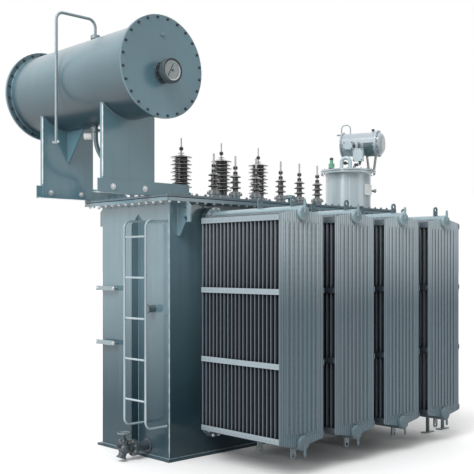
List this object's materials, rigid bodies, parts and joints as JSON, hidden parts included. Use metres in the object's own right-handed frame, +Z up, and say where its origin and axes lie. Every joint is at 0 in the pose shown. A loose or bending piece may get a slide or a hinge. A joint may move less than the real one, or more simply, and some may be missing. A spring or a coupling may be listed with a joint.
{
  "type": "power transformer",
  "caption": "Oil-filled power transformer with panel radiators on one side, an overhead oil drum, ladder, shedded bushings and a tap changer turret.",
  "frame": {"origin": "centre of the tank's foot plate, on the ground", "axes": "+X along the tank towards the tap changer, -Y towards the radiators, +Z up"},
  "size_m": [3.848, 2.627, 3.848],
  "materials": {
    "tank_paint": "gloss",
    "radiator_paint": "gloss",
    "turret_paint": "satin",
    "band_paint": "satin",
    "green_plastic": "satin",
    "glaze": "gloss",
    "galvanised": "satin",
    "gasket_rubber": "matt"
  },
  "bodies": {
    "root": {"breather_pipe": "tank_paint", "conservator": "tank_paint", "conservator_beams": "tank_paint", "conservator_covers": "tank_paint", "conservator_support_far": "tank_paint", "conservator_support_near": "tank_paint", "cover": "tank_paint", "cover_gasket": "gasket_rubber", "drain_handwheel": "tank_paint", "drain_valve": "tank_paint", "end_stiffeners": "tank_paint", "far_stiffeners": "tank_paint", "foot_plate": "tank_paint", "hv_bushing_bases": "galvanised", "hv_bushings": "glaze", "hv_terminals": "galvanised", "ladder": "tank_paint", "level_gauge": "tank_paint", "lifting_lugs": "tank_paint", "lv_bushing_bases": "galvanised", "lv_bushings": "glaze", "lv_terminals": "galvanised", "oil_pipe": "tank_paint", "oil_relay": "turret_paint", "radiator_1_headers": "tank_paint", "radiator_1_panels": "radiator_paint", "radiator_2_headers": "tank_paint", "radiator_2_panels": "radiator_paint", "radiator_3_headers": "tank_paint", "radiator_3_panels": "radiator_paint", "radiator_4_headers": "tank_paint", "radiator_4_panels": "radiator_paint", "radiator_bands": "band_paint", "radiator_hangers": "tank_paint", "radiator_posts": "tank_paint", "radiator_valves": "tank_paint", "tank": "tank_paint", "tank_rim": "tank_paint", "tap_box": "turret_paint", "tap_breather": "green_plastic", "tap_drum": "turret_paint", "tap_pipes": "turret_paint", "tap_relay": "turret_paint", "tap_saddle": "tank_paint", "thermometer_pocket": "tank_paint", "turret": "turret_paint", "turret_joint": "gasket_rubber", "turret_lid": "turret_paint", "wall_bars": "tank_paint"}
  },
  "joints": []
}
